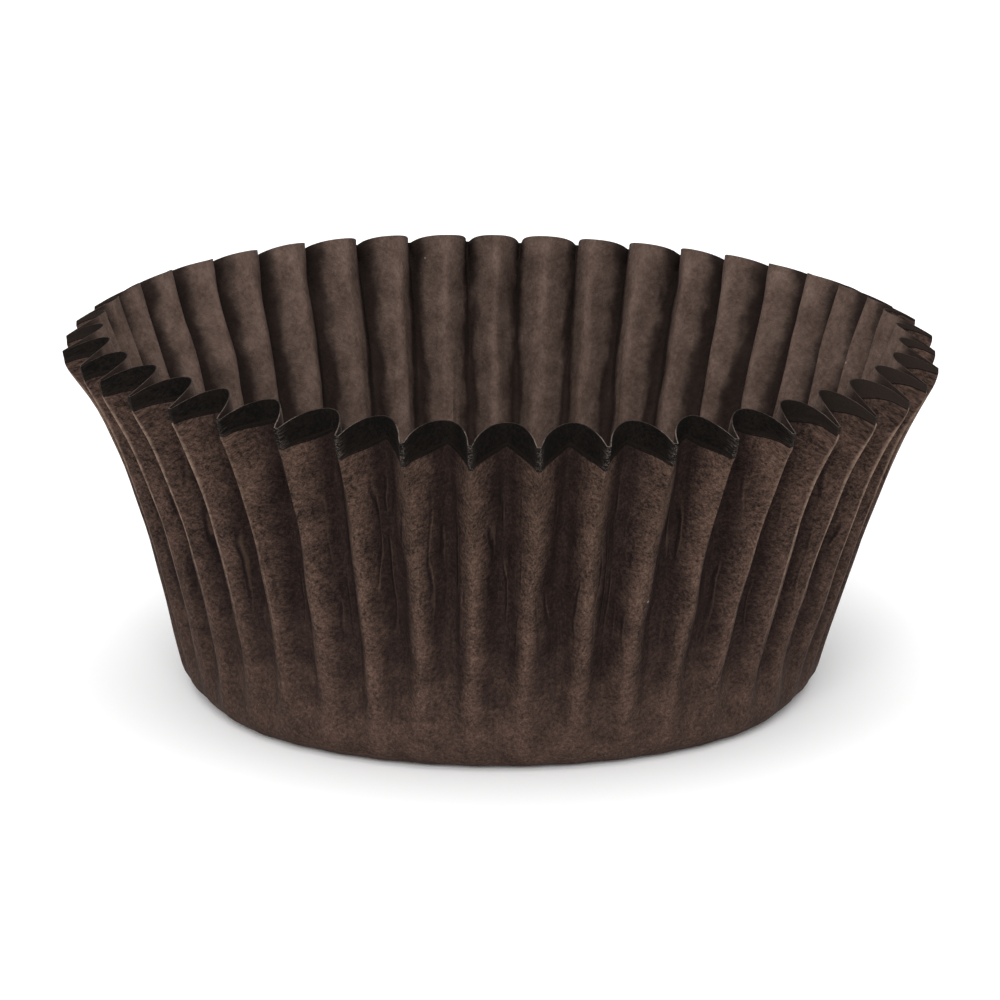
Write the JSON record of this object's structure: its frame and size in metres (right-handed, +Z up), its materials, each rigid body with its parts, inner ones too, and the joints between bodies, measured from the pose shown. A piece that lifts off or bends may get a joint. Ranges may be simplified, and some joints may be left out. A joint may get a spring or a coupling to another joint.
{
  "type": "cupcake liner",
  "caption": "Round fluted paper baking cup with a flat base and a flaring pleated wall, open at the top, that lines a muffin tin and holds one small cake.",
  "frame": {"origin": "middle of the flat base, on its underside", "axes": "+Z up along the cup's own axis, out of its open mouth; +X and +Y are free, because the pleats repeat all round"},
  "size_m": [0.0732, 0.0731, 0.0303],
  "materials": {
    "paper": "matte"
  },
  "bodies": {
    "root": {"liner": "paper"}
  },
  "joints": []
}
